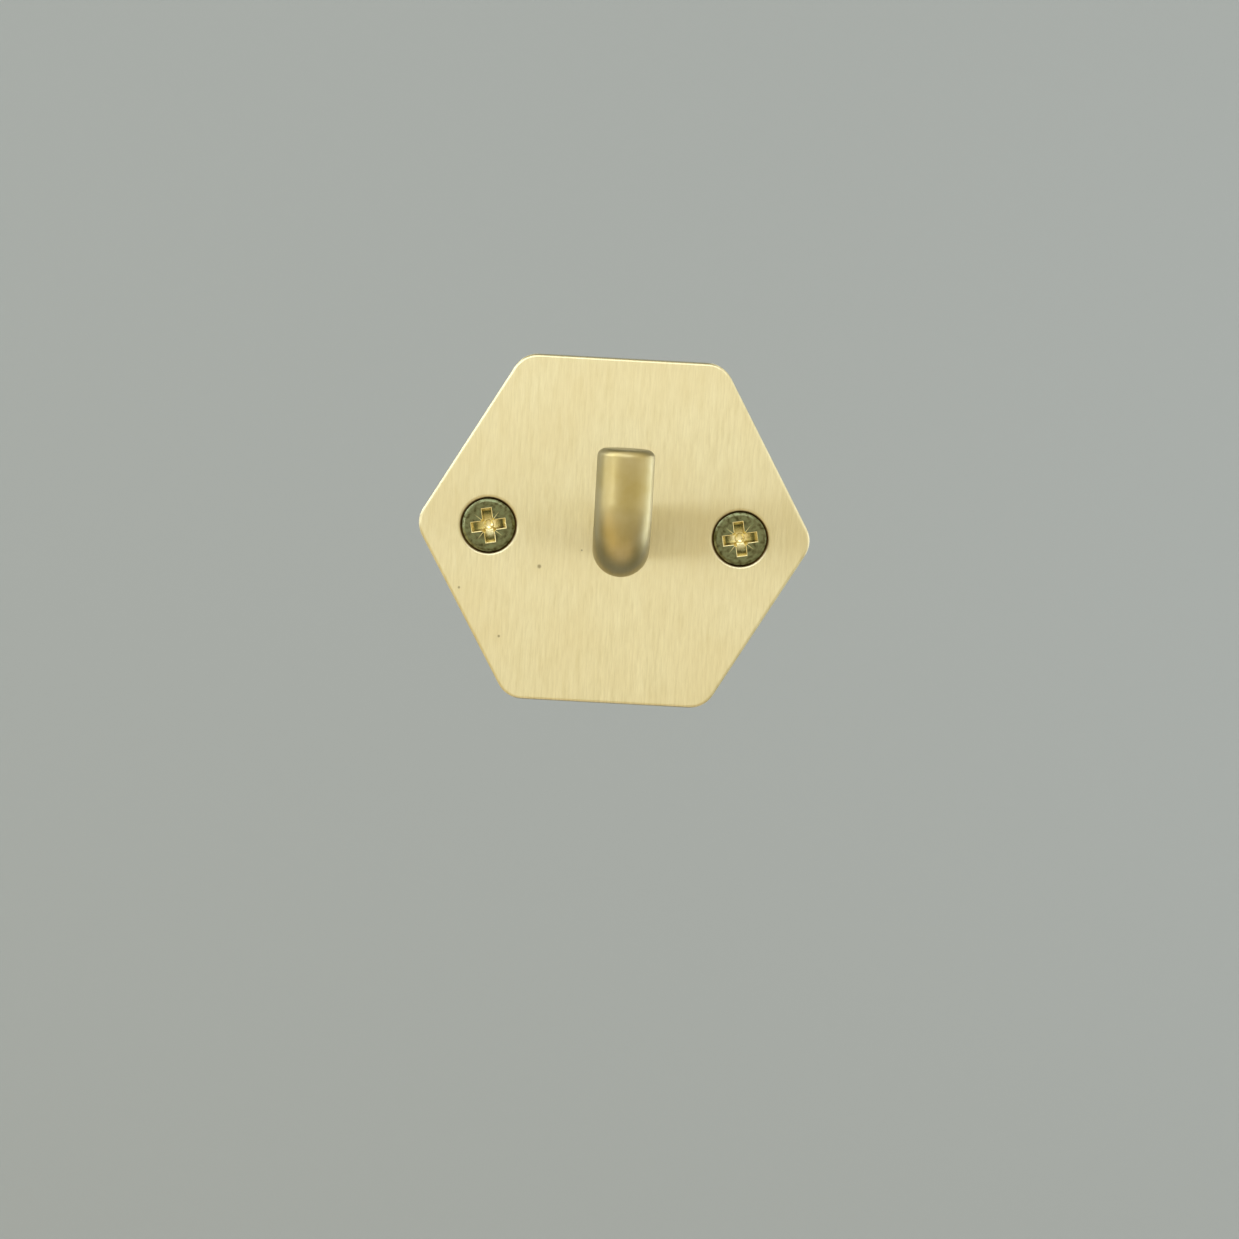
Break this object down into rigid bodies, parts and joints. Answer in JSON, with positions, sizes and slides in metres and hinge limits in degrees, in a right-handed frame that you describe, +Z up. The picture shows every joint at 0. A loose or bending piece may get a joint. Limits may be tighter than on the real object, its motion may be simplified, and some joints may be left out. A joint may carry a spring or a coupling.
{
  "type": "wall hook",
  "caption": "Hexagonal satin brass plate screwed to a wall, with a bent round brass bar standing out of its middle and turned up as a hook.",
  "frame": {"origin": "middle of the plate's back face, midway between the two wood screws", "axes": "+Y into the wall along the wood screws, +Z up along the hook's upright, +X to the right as seen from the room"},
  "size_m": [0.0508, 0.0635, 0.045],
  "materials": {
    "satin_brass": "brushed up and down the plate, uncoated",
    "satin_brass_bar": "satin, drawn round bar",
    "zinc_plated_steel": "bright zinc plate",
    "yellow_passivated_steel": "zinc plated and yellow passivated"
  },
  "bodies": {
    "root": {"backplate": "satin_brass", "hook": "satin_brass_bar", "hook_screw": "zinc_plated_steel", "screw_left": "yellow_passivated_steel", "screw_right": "yellow_passivated_steel"}
  },
  "joints": []
}
